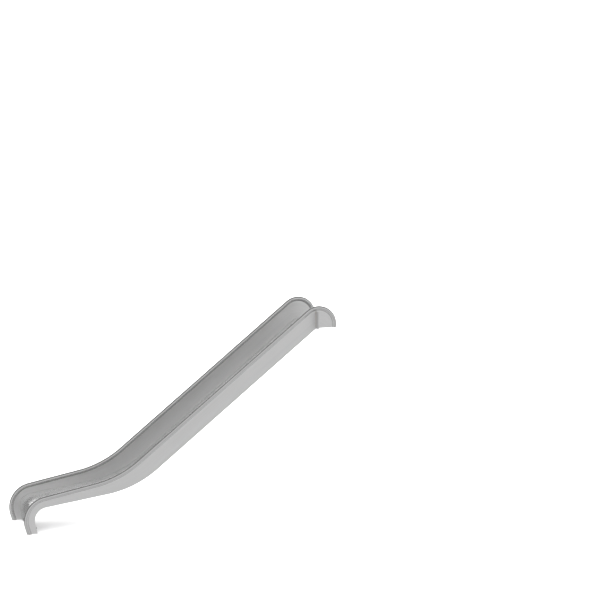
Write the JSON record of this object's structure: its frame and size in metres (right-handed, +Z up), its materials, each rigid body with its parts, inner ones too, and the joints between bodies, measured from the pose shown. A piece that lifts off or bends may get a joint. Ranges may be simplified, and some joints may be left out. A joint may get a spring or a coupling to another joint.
{
  "type": "straight slide",
  "caption": "Straight steel slide with flat cheeks, round edge tubes, a level run-out with a turned-down nose, and flanges for a tower deck.",
  "frame": {"origin": "on the ground, under the middle of the whole slide's box", "axes": "+X up the slide towards the deck end, +Y to a rider's right when facing the foot, +Z up"},
  "size_m": [2.5962, 0.632, 1.6808],
  "materials": {
    "bed_steel": "satin, polished by riders along the chute",
    "cheek_steel": "satin, brushed along the slide",
    "tube_steel": "satin, fine ground round the tube",
    "cap_steel": "satin",
    "bracket_steel": "pickled mill finish"
  },
  "bodies": {
    "root": {"slide_bed": "bed_steel", "threshold_strip": "bed_steel", "left_cheek": "cheek_steel", "left_edge_tube": "tube_steel", "left_tube_deck_cap": "cap_steel", "left_tube_foot_cap": "cap_steel", "left_tower_flange": "bracket_steel", "left_nose_gusset": "bracket_steel", "left_ground_lug": "bracket_steel", "right_cheek": "cheek_steel", "right_edge_tube": "tube_steel", "right_tube_deck_cap": "cap_steel", "right_tube_foot_cap": "cap_steel", "right_tower_flange": "bracket_steel", "right_nose_gusset": "bracket_steel", "right_ground_lug": "bracket_steel", "runout_rib_1": "bracket_steel", "runout_rib_2": "bracket_steel", "hollow_rib": "bracket_steel", "chute_rib_1": "bracket_steel", "chute_rib_2": "bracket_steel", "chute_rib_3": "bracket_steel", "chute_rib_4": "bracket_steel", "chute_rib_5": "bracket_steel", "chute_rib_6": "bracket_steel"}
  },
  "joints": []
}
